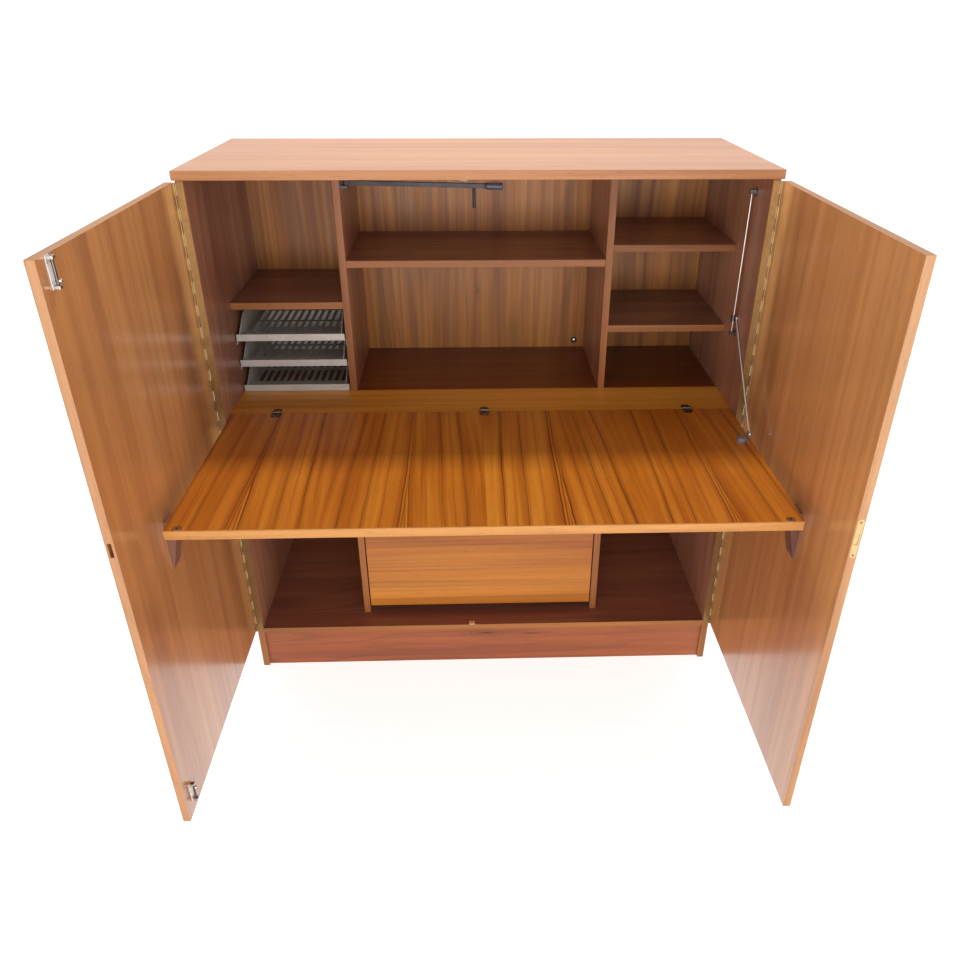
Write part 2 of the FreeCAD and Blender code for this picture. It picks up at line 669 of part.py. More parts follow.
def letter_tray(z):
    left = TRAY_CENTRE_X - TRAY_HALF_FLOOR
    right = TRAY_CENTRE_X + TRAY_HALF_FLOOR
    inner_left = TRAY_CENTRE_X - TRAY_HALF_WALL
    inner_right = TRAY_CENTRE_X + TRAY_HALF_WALL
    sheet = box(left, right, DIVIDER_FRONT, TRAY_BACK, z, z + SHEET)
    lip = box(left, right, DIVIDER_FRONT, DIVIDER_FRONT + SHEET, z, z + TRAY_LIP)
    back = box(inner_left, inner_right, TRAY_BACK - SHEET, TRAY_BACK, z, z + TRAY_WALL)
    walls = [tray_wall(inner_left, z), tray_wall(inner_right - SHEET, z)]
    slots = []
    for column in range(SLOT_COUNT):
        x = TRAY_CENTRE_X + (column - (SLOT_COUNT - 1) / 2) * SLOT_PITCH
        for start, end in SLOT_ROWS:
            slots.append(box(x - SLOT_WIDTH / 2, x + SLOT_WIDTH / 2, start, end, z, z + SHEET))
    return joined([sheet, lip, back] + walls).cut(slots)


def tray_guides():
    guides = []
    for z in TRAY_Z[:2]:
        top = z - RUNNER_CLEAR
        for wall, side in ((-SIDE_INNER, 1), (DIVIDER_X[0] - BOARD / 2, -1)):
            ledge_end = wall + side * 7.5
            flange_end = wall + side * SHEET
            x0, x1 = sorted((wall, ledge_end))
            ledge = box(x0, x1, DIVIDER_FRONT + 6, TRAY_BACK - 8, top - SHEET, top)
            x0, x1 = sorted((wall, flange_end))
            flange = box(x0, x1, DIVIDER_FRONT + 6, TRAY_BACK - 8, top - 10, top)
            guides.append(joined([ledge, flange]))
    return separate(guides)


def tray_sets():
    for name, z in zip(("tray_upper", "tray_middle", "tray_lower"), TRAY_Z):
        save(name, letter_tray(z))
    save("tray_guides", tray_guides())


# ---- drawers ----

def drawer_front(low, high):
    front = DRAWER_FRONT
    return board(DRAWER_X[0], DRAWER_X[1], front, front + BOARD, low, high)


def drawer_box(low, high):
    x0 = DRAWER_X[0] + DRAWER_SIDE_IN
    x1 = DRAWER_X[1] - DRAWER_SIDE_IN
    front = DRAWER_FRONT + BOARD
    base = low + RUNNER_TOP + RUNNER_CLEAR
    top = high - DRAWER_SIDE_DROP
    left = box(x0, x0 + DRAWER_SIDE, front, DRAWER_BACK, base, top)
    right = box(x1 - DRAWER_SIDE, x1, front, DRAWER_BACK, base, top)
    back = box(x0, x1, DRAWER_BACK - DRAWER_SIDE, DRAWER_BACK, base, top)
    return joined([left, right, back])


def drawer_bottom(low):
    x0 = DRAWER_X[0] + DRAWER_SIDE_IN + DRAWER_SIDE
    x1 = DRAWER_X[1] - DRAWER_SIDE_IN - DRAWER_SIDE
    base = low + RUNNER_TOP + 8.0
    return box(x0, x1, DRAWER_FRONT + BOARD, DRAWER_BACK - DRAWER_SIDE, base, base + DRAWER_BASE)


def drawer_runners():
    strips = []
    half = BOARD / 2
    for low, high in DRAWER_FRONT_Z:
        top = low + RUNNER_TOP
        for wall, side in ((DIVIDER_X[0] + half, 1), (DIVIDER_X[1] - half, -1)):
            x0, x1 = sorted((wall, wall + side * RUNNER_WIDTH))
            strips.append(box(x0, x1, DRAWER_FRONT + BOARD + 2, BACK_DEPTH - 5,
                              top - RUNNER_HEIGHT, top))
    return separate(strips)


def drawer_sets():
    for name, (low, high) in zip(("lower_drawer", "upper_drawer"), DRAWER_FRONT_Z):
        save(name + "_front", drawer_front(low, high))
        save(name + "_box", drawer_box(low, high))
        save(name + "_bottom", drawer_bottom(low))
    save("drawer_runners", drawer_runners())


# ---- lamp and cable outlet ----

def swung(shape):
    placed = shape.copy()
    placed.rotate(point(LAMP_PIVOT_X, LAMP_PIVOT_DEPTH, 0), Z_DIR, -LAMP_SWUNG)
    return placed


def lamp_bracket():
    wall = DIVIDER_X[0] + BOARD / 2
    x1 = LAMP_PIVOT_X + 5.0
    d0 = LAMP_PIVOT_DEPTH - 7.0
    d1 = LAMP_PIVOT_DEPTH + 9.0
    lower = board(wall, x1, d0, d1, LAMP_LOW - 8.0, LAMP_LOW - 0.4, 0.8)
    upper = board(wall, x1, d0, d1, LAMP_HIGH + 0.4, LAMP_HIGH + 3.6, 0.6)
    web = box(wall, wall + 3.0, d0, d1, LAMP_LOW - 7.0, LAMP_HIGH + 3.0)
    pin = rod(LAMP_PIN_R, LAMP_HIGH - LAMP_LOW + 2.0, LAMP_PIVOT_X, LAMP_PIVOT_DEPTH, LAMP_LOW - 1, Z_DIR)
    return joined([lower, upper, web, pin])


def lamp_arm():
    x = LAMP_PIVOT_X
    d = LAMP_PIVOT_DEPTH
    half = LAMP_WIDTH / 2
    bar = box(x, x + LAMP_LENGTH - SLEEVE_LENGTH, d - half, d + half, LAMP_LOW, LAMP_HIGH)
    root = rod(half, LAMP_HIGH - LAMP_LOW, x, d, LAMP_LOW, Z_DIR)
    middle = (LAMP_LOW + LAMP_HIGH) / 2
    bulb = rod(BULB_R, SLEEVE_LENGTH + 4.0, x + LAMP_LENGTH - SLEEVE_LENGTH - 6.0, d, middle, X_DIR)
    bore = rod(LAMP_PIN_R + RUNNING, LAMP_HIGH - LAMP_LOW, x, d, LAMP_LOW, Z_DIR)
    socket = rod(2.0 + RUNNING, 7.0, x + SWITCH_AT, d, LAMP_LOW, Z_DIR)
    return swung(joined([bar, root, bulb]).cut([bore, socket]))


def lamp_sleeve():
    middle = (LAMP_LOW + LAMP_HIGH) / 2
    start = LAMP_PIVOT_X + LAMP_LENGTH - SLEEVE_LENGTH
    outer = rod(SLEEVE_R, SLEEVE_LENGTH, start, LAMP_PIVOT_DEPTH, middle, X_DIR)
    outer = outer.makeFillet(0.6, [outer.Edges[0], outer.Edges[2]])
    inner = rod(BULB_R + 0.1, SLEEVE_LENGTH, start, LAMP_PIVOT_DEPTH, middle, X_DIR)
    return swung(outer.cut(inner))


def lamp_switch():
    x = LAMP_PIVOT_X + SWITCH_AT
    d = LAMP_PIVOT_DEPTH
    grip_top = LAMP_LOW - SWITCH_GAP
    grip = rod(3.4, grip_top - SWITCH_LOW, x, d, SWITCH_LOW, Z_DIR)
    grip = grip.makeFillet(1.4, [grip.Edges[0], grip.Edges[2]])
    stem = rod(2.0, LAMP_LOW + 6.0 - SWITCH_LOW - 4.0, x, d, SWITCH_LOW + 4.0, Z_DIR)
    return swung(joined([grip, stem]))


def cable_grommet():
    ring = rod(OUTLET_R + 2.2, 1.6, OUTLET_X, BACK_DEPTH - 1.6, OUTLET_Z, Y_DIR)
    ring = ring.makeFillet(0.7, [ring.Edges[2]])
    tube = rod(OUTLET_R, BACK_THICK + 1.0, OUTLET_X, BACK_DEPTH - 1.0, OUTLET_Z, Y_DIR)
    hole = rod(OUTLET_BORE_R, BACK_THICK + 4.0, OUTLET_X, BACK_DEPTH - 3.0, OUTLET_Z, Y_DIR)
    return joined([ring, tube]).cut(hole)


def lamp_sets():
    save("lamp_bracket", lamp_bracket())
    save("lamp_arm", lamp_arm())
    save("lamp_sleeve", lamp_sleeve())
    save("lamp_switch", lamp_switch())
    save("cable_grommet", cable_grommet())


carcase_boards()
door_sets()
leaf_sets()
tray_sets()
drawer_sets()
lamp_sets()
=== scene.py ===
import math

import bmesh
import bpy
from mathutils import Matrix, Vector


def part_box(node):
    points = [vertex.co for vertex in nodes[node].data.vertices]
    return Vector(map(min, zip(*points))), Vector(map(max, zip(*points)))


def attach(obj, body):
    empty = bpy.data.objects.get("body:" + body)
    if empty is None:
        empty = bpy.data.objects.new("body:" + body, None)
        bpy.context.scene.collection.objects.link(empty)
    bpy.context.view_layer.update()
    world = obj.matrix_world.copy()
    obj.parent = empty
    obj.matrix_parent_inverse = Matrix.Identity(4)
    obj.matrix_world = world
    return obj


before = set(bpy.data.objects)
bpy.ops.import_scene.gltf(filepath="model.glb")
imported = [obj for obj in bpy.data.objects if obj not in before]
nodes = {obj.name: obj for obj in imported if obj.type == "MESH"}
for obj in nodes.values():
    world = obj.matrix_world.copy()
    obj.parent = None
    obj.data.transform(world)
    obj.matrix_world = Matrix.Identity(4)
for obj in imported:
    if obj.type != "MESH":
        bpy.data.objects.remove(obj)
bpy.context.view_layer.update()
scene = bpy.context.scene

AXES = "XYZ"
MM = 0.001
# the front of the carcase stands at this y in the frame, in millimetres
FRONT = 52.9

# ------------------------------------------------------------------ shader helpers


class Graph:
    """One material: a Principled shader and short calls that add nodes in front of it."""

    def __init__(self, name):
        self.mat = bpy.data.materials.new(name)
        self.mat.use_nodes = True
        self.tree = self.mat.node_tree
        self.tree.nodes.clear()
        out = self.tree.nodes.new("ShaderNodeOutputMaterial")
        self.bsdf = self.tree.nodes.new("ShaderNodeBsdfPrincipled")
        self.tree.links.new(self.bsdf.outputs[0], out.inputs[0])
        self.coord = self.tree.nodes.new("ShaderNodeTexCoord").outputs["Object"]

    def put(self, value, socket):
        if isinstance(value, bpy.types.NodeSocket):
            self.tree.links.new(value, socket)
        else:
            socket.default_value = value

    def shader(self, **values):
        for name, value in values.items():
            self.put(value, self.bsdf.inputs[name.replace("_", " ")])

    def math(self, op, a, b=0.0, clamp=False):
        node = self.tree.nodes.new("ShaderNodeMath")
        node.operation = op
        node.use_clamp = clamp
        self.put(a, node.inputs[0])
        self.put(b, node.inputs[1])
        return node.outputs[0]

    def add(self, a, b):
        return self.math("ADD", a, b)

    def sub(self, a, b):
        return self.math("SUBTRACT", a, b)

    def mul(self, a, b):
        return self.math("MULTIPLY", a, b)

    def axes(self):
        node = self.tree.nodes.new("ShaderNodeSeparateXYZ")
        self.put(self.coord, node.inputs[0])
        return node.outputs

    def vec(self, x, y, z):
        node = self.tree.nodes.new("ShaderNodeCombineXYZ")
        for value, socket in zip((x, y, z), node.inputs):
            self.put(value, socket)
        return node.outputs[0]

    def noise(self, vector, scale, detail=3.0, rough=0.55, distort=0.0):
        node = self.tree.nodes.new("ShaderNodeTexNoise")
        self.put(vector, node.inputs["Vector"])
        node.inputs["Scale"].default_value = scale
        node.inputs["Detail"].default_value = detail
        node.inputs["Roughness"].default_value = rough
        node.inputs["Distortion"].default_value = distort
        return node.outputs["Fac"]

    def span(self, value, low, high, to_low=0.0, to_high=1.0, smooth=False):
        node = self.tree.nodes.new("ShaderNodeMapRange")
        node.clamp = True
        node.interpolation_type = "SMOOTHSTEP" if smooth else "LINEAR"
        for item, socket in zip((value, low, high, to_low, to_high), node.inputs):
            self.put(item, socket)
        return node.outputs[0]

    def mix(self, factor, a, b, blend="MIX"):
        node = self.tree.nodes.new("ShaderNodeMix")
        node.data_type = "RGBA"
        node.blend_type = blend
        self.put(factor, node.inputs[0])
        self.put(a, node.inputs[6])
        self.put(b, node.inputs[7])
        return node.outputs[2]

    def ramp(self, value, stops):
        node = self.tree.nodes.new("ShaderNodeValToRGB")
        while len(node.color_ramp.elements) < len(stops):
            node.color_ramp.elements.new(0.5)
        for element, (at, colour) in zip(node.color_ramp.elements, stops):
            element.position = at
            element.color = colour
        self.put(value, node.inputs[0])
        return node.outputs[0]

    def shade(self, colour, factor):
        return self.mix(1.0, colour, self.vec(factor, factor, factor), "MULTIPLY")

    def bump(self, height, strength, distance):
        node = self.tree.nodes.new("ShaderNodeBump")
        node.inputs["Strength"].default_value = strength
        node.inputs["Distance"].default_value = distance
        self.put(height, node.inputs["Height"])
        self.put(node.outputs[0], self.bsdf.inputs["Normal"])


def tint(colour, factor=1.0):
    """An sRGB colour of 0 to 255, made lighter or darker by a factor, as linear RGBA."""
    out = []
    for value in colour:
        v = min(value * factor, 255) / 255.0
        out.append(v / 12.92 if v <= 0.04045 else ((v + 0.055) / 1.055) ** 2.4)
    return (*out, 1.0)


# ------------------------------------------------------------------ wood


def grain_frame(g, axis, shift):
    """Coordinates across, through and along the grain, in metres."""
    ax = g.axes()
    across, through, along = {"X": (1, 2, 0), "Y": (0, 2, 1), "Z": (0, 1, 2)}[axis]
    return g.add(ax[across], shift), ax[through], ax[along]


def fibres(g, colour, along, dark, depth):
    """Fine fibres and open pores on a wood colour. Returns the colour and a height for bump."""
    fine = g.noise(along(0.012), 330.0, 2.0, 0.6)
    colour = g.shade(colour, g.span(fine, 0.25, 0.75, 1.0 - depth, 1.0 + depth * 0.6))
    pore = g.span(g.noise(along(0.035), 900.0, 1.0, 0.5), 0.64, 0.74)
    colour = g.mix(g.mul(pore, 0.45), colour, tint(dark, 0.55))
    return colour, g.sub(g.mul(fine, 0.5), g.mul(pore, 0.6))


def knot(g, colour, place, size, across, through, along, figure, dark):
    """A small dark figure in the veneer, drawn out along the grain.

    Its place is across, through and along the grain. The fourth value scales distances along the grain, so
    0.25 makes the knot four times as long as it is wide.
    """
    da = g.sub(across, place[0])
    db = g.sub(through, place[1])
    dl = g.mul(g.sub(along, place[2]), place[3])
    r = g.math("SQRT", g.add(g.add(g.mul(da, da), g.mul(db, db)), g.mul(dl, dl)))
    r = g.add(r, g.mul(g.sub(figure, 0.5), size * 0.9))
    wave = g.mul(g.math("SINE", g.mul(r, 14.0 / size)), 0.5)
    near = g.span(r, size * 2.4, size * 0.4, smooth=True)
    ring = g.math("MULTIPLY", near, g.add(wave, 0.40), clamp=True)
    colour = g.mix(g.mul(ring, 0.6), colour, tint(dark, 0.5))
    return g.mix(g.mul(g.span(r, size * 0.55, size * 0.15), 0.75), colour, tint(dark, 0.3))


def wood(name, axis, pale, mid, dark, bands=0.5, rings=0.35, ring_rate=26.0, ring_size=3.1, ring_run=0.16,
         stripes=0.0, stripe_scale=60.0, depth=0.10, wander=0.030, rough=0.36, coat=0.25, coat_rough=0.22,
         shift=0.0, knots=(), rear=None):
    """Veneer with its grain along one axis, in three sRGB tones. It may turn darker behind a line."""
    g = Graph(name)
    flat, through, run = grain_frame(g, axis, shift)
    drift = g.noise(g.vec(flat, through, g.mul(run, 0.55)), 2.6, 2.0)
    across = g.add(flat, g.mul(g.sub(drift, 0.5), wander))

    def along(k):
        return g.vec(across, through, g.mul(run, k))

    figure = g.noise(along(0.022), 46.0, 3.0, 0.6, 0.15)
    broad = g.noise(along(0.10), 7.0, 2.0, 0.5, 0.2)
    base = g.ramp(g.add(g.mul(figure, bands), g.mul(broad, 1.0 - bands)),
                  ((0.34, tint(dark)), (0.50, tint(mid)), (0.66, tint(pale))))
    tone = g.ramp(broad, ((0.30, tint(dark)), (0.52, tint(mid)), (0.72, tint(pale))))
    colour = g.mix(0.35, base, tone)
    # growth lines are contours of a slow noise, strong in places and faint in others
    saw = g.math("FRACT", g.mul(g.noise(along(ring_run), ring_size, 2.0, 0.45, 0.10), ring_rate))
    line = g.mul(g.span(saw, 0.55, 0.93, smooth=True), g.span(saw, 0.93, 1.0, 1.0, 0.0))
    line = g.mul(line, g.span(g.noise(along(0.06), 12.0, 1.0), 0.35, 0.68, 0.15, 1.0))
    colour = g.mix(g.mul(line, rings), colour, tint(dark, 0.52))
    if stripes:
        band = g.noise(along(0.008), stripe_scale, 3.0, 0.6)
        colour = g.mix(g.mul(g.span(band, 0.52, 0.64), stripes), colour, tint(dark, 0.60))
        colour = g.mix(g.mul(g.span(band, 0.46, 0.34), stripes * 0.6), colour, tint(pale, 1.12))
    for place, size in knots:
        colour = knot(g, colour, place, size, flat, through, run, figure, dark)
    if rear:
        at, tone = rear
        behind = g.span(g.axes()[1], at, at + 0.002)
        colour = g.mix(behind, colour, g.mix(1.0, colour, tint(tone), "MULTIPLY"))
    colour, height = fibres(g, colour, along, dark, depth)
    g.shader(Base_Color=colour, Roughness=g.span(figure, 0.3, 0.7, rough + 0.06, rough - 0.04),
             Coat_Weight=coat, Coat_Roughness=coat_rough)
    g.bump(height, 0.18, 0.0004)
    return g.mat


# the width of a strip of the leaf's veneer, and the y about which its figure leans
STRIP = 0.152
LEAF_EDGE = -0.41
# each dark vein of a strip: its place, the reach of its glow, half the width of its line, its strength
VEINS = ((0.034, 0.010, 0.0014, 0.95), (0.077, 0.012, 0.0014, 0.85), (0.1425, 0.016, 0.0016, 1.0),
         (0.1490, 0.004, 0.0010, 0.9), (0.109, 0.006, 0.0007, 0.45), (0.056, 0.006, 0.0006, 0.40),
         (0.0810, 0.003, 0.0006, 0.60), (0.0375, 0.003, 0.0005, 0.55))


def leaf_wood(name, pale, mid, dark):
    """Strips of striped veneer laid as mirror pairs, with the grain from front to back."""
    g = Graph(name)
    x, y = g.axes()[:2]
    cell = g.math("FLOOR", g.math("DIVIDE", x, STRIP))
    odd = g.math("PINGPONG", cell, 1.0)
    lean = g.mul(g.sub(y, LEAF_EDGE), g.span(odd, 0.0, 1.0, -0.006, 0.046))
    slow = g.noise(g.vec(g.mul(x, 3.0), y, g.mul(cell, 0.35)), 3.2, 2.0)
    shifted = g.add(g.add(x, lean), g.mul(g.sub(slow, 0.5), 0.012))
    u = g.math("PINGPONG", shifted, STRIP)

    def along(k):
        return g.vec(u, g.mul(y, k), g.mul(cell, 0.07))

    figure = g.noise(along(0.02), 70.0, 3.0, 0.6)
    broad = g.noise(along(0.10), 14.0, 2.0)
    colour = g.ramp(g.add(g.mul(figure, 0.5), g.mul(broad, 0.5)),
                    ((0.36, tint(dark)), (0.50, tint(mid)), (0.64, tint(pale))))
    patch = g.span(g.noise(along(0.35), 9.0, 1.0), 0.36, 0.62, 0.35, 1.0)
    for at, soft, hard, strength in VEINS:
        d = g.sub(u, at)
        glow = g.mul(g.span(d, -soft, 0.0, 0.0, 1.0, True), g.span(d, 0.0, 0.0025, 1.0, 0.0))
        line = g.mul(g.span(g.math("ABSOLUTE", d), hard, hard * 0.25), patch)
        colour = g.mix(g.mul(glow, strength * 0.55), colour, tint((138, 62, 14)))
        colour = g.mix(g.mul(line, strength * 0.95), colour, tint((74, 26, 6)))
    colour, height = fibres(g, colour, along, dark, 0.10)
    g.shader(Base_Color=colour, Roughness=g.span(figure, 0.3, 0.7, 0.36, 0.28), Coat_Weight=0.3,
             Coat_Roughness=0.18)
    g.bump(height, 0.15, 0.0004)
    return g.mat


# ------------------------------------------------------------------ metals and plastics


def metal(name, base, worn_and_sheen, rough, scratch_axis="Z", mottle=0.35):
    g = Graph(name)
    stretched = [g.mul(c, 0.03) if letter == scratch_axis else c for letter, c in zip(AXES, g.axes())]
    scratch = g.noise(g.vec(*stretched), 900.0, 2.0, 0.6)
    blot = g.noise(g.coord, 90.0, 4.0, 0.65)
    mixed = g.add(g.mul(scratch, 0.5), g.mul(blot, 0.5))
    g.shader(Base_Color=g.mix(g.mul(g.span(blot, 0.45, 0.70), mottle), tint(base), tint(worn_and_sheen)),
             Metallic=1.0, Roughness=g.span(mixed, 0.3, 0.7, rough * 0.75, rough * 1.35))
    g.bump(scratch, 0.06, 0.0002)
    return g.mat


def paint(name, base, worn_and_sheen, rough):
    g = Graph(name)
    blot = g.noise(g.coord, 26.0, 4.0, 0.6)
    dust = g.span(g.noise(g.coord, 300.0, 3.0, 0.7), 0.62, 0.75)
    # random blotches between the two tones; on the stay foot they are a painted reflection
    colour = g.mix(g.span(blot, 0.40, 0.72), tint(base), tint(worn_and_sheen))
    g.shader(Base_Color=g.mix(g.mul(dust, 0.15), colour, tint((150, 145, 138))),
             Roughness=g.span(blot, 0.3, 0.7, rough - 0.06, rough + 0.08))
    g.bump(g.noise(g.coord, 1400.0, 2.0), 0.10, 0.0002)
    return g.mat


OUTSIDE = wood("teak_side_faces", "Z", (202, 142, 90), (184, 122, 76), (156, 98, 60), rings=0.22,
               shift=0.27)
TOP = wood("teak_top_faces", "X", (196, 133, 84), (190, 125, 76), (180, 113, 66), bands=0.4, rings=0.06,
           ring_rate=20.0, rough=0.40, coat=0.25)
# the inner sides and dividers get a paler, greyer teak than the outer sides: painted reflection of bluish
# light in the lacquer
UPRIGHT_PAINTED_REFLECTION = wood("teak_upright_faces_painted_reflection", "Z", (188, 135, 103), (166, 113, 88), (136, 87, 68), rings=0.30,
              shift=0.31)
# the shelves get a darker, more purple teak than the uprights: painted shade on the shelf tops, with a
# painted bluish reflection
FLAT_PAINTED_SHADE = wood("teak_flat_faces_painted_shade", "X", (160, 107, 82), (137, 87, 70), (106, 63, 53), rings=0.38, shift=0.17)
# the writing floor changes tone behind the fronts of the dividers
DIVIDER_FRONTS = 0.2289
FLOOR = wood("teak_floor_faces", "X", (242, 168, 64), (224, 148, 48), (186, 112, 32), bands=0.5, rings=0.35,
             ring_rate=30.0, ring_run=0.05, wander=0.012, shift=0.11, rear=(DIVIDER_FRONTS, (128, 84, 40)))
DOOR = wood("teak_door_faces", "Z", (206, 146, 91), (190, 128, 77), (168, 106, 62), bands=0.55, rings=0.12,
            ring_rate=16.0, stripes=0.16, stripe_scale=34.0, depth=0.08, wander=0.04, rough=0.33, coat=0.9,
            coat_rough=0.16)
BACK = wood("teak_back_faces", "Z", (204, 138, 54), (170, 104, 34), (122, 66, 22), bands=0.6, rings=0.40,
            ring_rate=30.0, ring_run=0.05, stripes=0.26, stripe_scale=90.0, shift=0.09, rough=0.46, coat=0.0,
            wander=0.04,
            knots=(((0.085, 0.53, 0.875, 0.25), 0.005), ((-0.41, 0.53, 0.86, 0.12), 0.006)))
PLINTH = wood("teak_plinth_faces", "X", (164, 88, 40), (146, 73, 31), (118, 54, 22), rings=0.30,
              ring_rate=22.0, ring_size=6.0, ring_run=0.10, shift=0.4, coat=0.05,
              knots=(((0.461, 0.094, 0.005, 0.12), 0.005), ((0.461, 0.090, 0.12, 0.08), 0.003)))
DRAWER = wood("teak_drawer_faces", "X", (200, 126, 32), (176, 104, 20), (142, 72, 12), bands=0.35,
              rings=0.46, ring_rate=34.0, ring_run=0.03, stripes=0.16, stripe_scale=26.0, wander=0.012,
              shift=0.23, coat=0.08)


def edges(name, pale, mid, dark, shift):
    """The same solid edge band with its grain along each axis."""
    return {a: wood(name + "_" + a.lower(), a, pale, mid, dark, bands=0.7, rings=0.15, depth=0.08, rough=0.5,
                    coat=0.0, shift=shift) for a in AXES}


INNER_EDGE = edges("teak_inner_edge", (170, 107, 40), (149, 88, 28), (122, 68, 20), 0.05)
PALE_EDGE = edges("teak_pale_edge", (196, 147, 104), (182, 130, 86), (158, 105, 65), 0.02)
TOP_EDGE = edges("teak_top_edge", (196, 136, 86), (178, 118, 70), (152, 94, 52), 0.08)
LIPPING = wood("teak_lipping_faces", "X", (208, 148, 76), (192, 130, 60), (170, 108, 44), bands=0.7,
               rings=0.15, rough=0.5, coat=0.0)
SUPPORT = wood("support_faces", "Z", (138, 92, 72), (120, 78, 60), (94, 58, 46), rings=0.3)
BOX_WOOD = wood("drawer_side_faces", "Y", (216, 184, 138), (200, 164, 116), (176, 138, 92), rings=0.3,
                rough=0.55, coat=0.0)
BOX_BOARD = wood("drawer_bottom_faces", "X", (186, 150, 108), (170, 132, 90), (148, 110, 72), rings=0.25,
                 rough=0.6, coat=0.0)
LEAF = leaf_wood("teak_leaf_faces", (208, 129, 41), (192, 111, 31), (167, 88, 20))
BRASS = metal("brass_satin", (146, 112, 70), (104, 76, 44), 0.34)
BRIGHT_BRASS = metal("brass_knuckles", (176, 140, 76), (120, 92, 48), 0.42)
STEEL = metal("bright_plate", (206, 204, 200), (150, 146, 140), 0.18)
LOCK_BRASS = metal("lock_plate_brass", (206, 178, 128), (172, 142, 92), 0.42)
LOCK_STEEL = metal("lock_steel_faces", (150, 148, 142), (104, 100, 94), 0.34)
SLEEVE = paint("sleeve_faces", (84, 76, 84), (70, 63, 70), 0.28)
BOLT_METAL = metal("bolt_metal_faces", (96, 92, 90), (56, 52, 50), 0.30)
NICKEL = paint("nickel_plate_faces", (234, 228, 222), (212, 205, 198), 0.30)
# the stay foot's blotches between pale and dark grey are a painted reflection of its chrome
FOOT_METAL = paint("foot_faces", (132, 130, 138), (62, 60, 66), 0.25)
DARK_BRONZE = metal("leaf_hinge_faces", (120, 104, 90), (58, 46, 38), 0.30)
ROD = metal("rod_faces", (246, 243, 238), (220, 216, 208), 0.40)
GUIDE_ROD = metal("guide_rod_faces", (196, 186, 178), (160, 150, 142), 0.34)
TRAY = paint("tray_enamel", (186, 180, 172), (168, 163, 156), 0.36)
LAMP = paint("lamp_enamel", (46, 36, 43), (37, 29, 35), 0.42)
# pale paint for the sleeve's end cap, also used as a painted highlight on the sleeve's top and bottom
PALE_CAP_AND_PAINTED_HIGHLIGHT = paint("lamp_end_cap_and_painted_highlight", (226, 222, 214), (206, 200, 190), 0.40)
BLACK = paint("black_plastic_faces", (26, 26, 27), (20, 20, 21), 0.5)

# ------------------------------------------------------------------ materials on the CAD pieces


def dress(names, face, band=None, thin=None):
    """One material on the two broad sides, and an edge band along the four narrow ones.

    The grain of an edge runs along the axis that neither the edge nor the broad sides face.
    """
    for name in names:
        mesh = nodes[name].data
        mesh.materials.clear()
        mesh.materials.append(face)
        if not band:
            continue
        low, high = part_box(name)
        size = high - low
        flat = AXES.index(thin) if thin else min(range(3), key=lambda i: size[i])
        for letter in AXES:
            mesh.materials.append(band[letter])
        for polygon in mesh.polygons:
            facing = max(range(3), key=lambda i: abs(polygon.normal[i]))
            polygon.material_index = 0 if facing == flat else 1 + (3 - facing - flat)


def tipped(name, face, tip, chosen):
    """A second material on the chosen faces."""
    mesh = nodes[name].data
    mesh.materials.clear()
    mesh.materials.append(face)
    mesh.materials.append(tip)
    for polygon in mesh.polygons:
        polygon.material_index = 1 if chosen(polygon) else 0


dress(["top_panel"], TOP, TOP_EDGE)
dress(["left_side", "right_side", "left_divider", "right_divider", "lower_left_divider",
       "lower_right_divider"], UPRIGHT_PAINTED_REFLECTION, INNER_EDGE)
# the outer faces of the two sides have a tone of their own, warmer than the painted reflection on the inner
# faces
FACING = 0.9
for name, way in (("left_side", -1), ("right_side", 1)):
    data = nodes[name].data
    data.materials.append(OUTSIDE)
    for polygon in data.polygons:
        if polygon.normal.x * way > FACING:
            polygon.material_index = len(data.materials) - 1
dress(["left_shelf", "centre_shelf", "right_upper_shelf", "right_lower_shelf", "bottom_shelf"],
      FLAT_PAINTED_SHADE, INNER_EDGE)
dress(["writing_floor"], FLOOR, INNER_EDGE)
dress(["plinth"], PLINTH, INNER_EDGE)
dress(["back_panel"], BACK, INNER_EDGE)
dress(["left_door", "right_door"], DOOR, PALE_EDGE)
dress(["writing_leaf"], LEAF, PALE_EDGE, "Z")
dress(["leaf_lipping"], LIPPING)
dress(["upper_drawer_front", "lower_drawer_front"], DRAWER, INNER_EDGE)
dress(["left_leaf_support", "right_leaf_support"], SUPPORT)
dress(["upper_drawer_box", "lower_drawer_box", "drawer_runners"], BOX_WOOD)
dress(["upper_drawer_bottom", "lower_drawer_bottom"], BOX_BOARD)
dress(["left_hinge_fixed_leaf", "right_hinge_fixed_leaf", "door_hinge_pins", "key_escutcheon"], BRASS)
dress(["lock_faceplate", "lock_bolt"], LOCK_BRASS)
dress(["left_hinge_door_leaf", "right_hinge_door_leaf"], BRIGHT_BRASS)
dress(["leaf_hinge_pins", "leaf_catch_plates"], STEEL)
dress(["stay_rod"], GUIDE_ROD)
dress(["stay_arm"], ROD)
dress(["stay_brackets", "stay_slider"], BOLT_METAL)
dress(["stay_foot"], FOOT_METAL)
dress(["leaf_hinge_fixed_plates", "leaf_hinge_moving_plates"], DARK_BRONZE)
dress(["lock_case"], LOCK_STEEL)
dress(["tray_upper", "tray_middle", "tray_lower", "tray_guides"], TRAY)
dress(["lamp_bracket", "lamp_arm"], LAMP)
# the end face is a pale cap; the top and bottom faces get the same pale paint as a painted highlight along
# the dark sleeve
tipped("lamp_sleeve", SLEEVE, PALE_CAP_AND_PAINTED_HIGHLIGHT,
       lambda p: p.normal.x > FACING or abs(p.normal.z) > FACING)
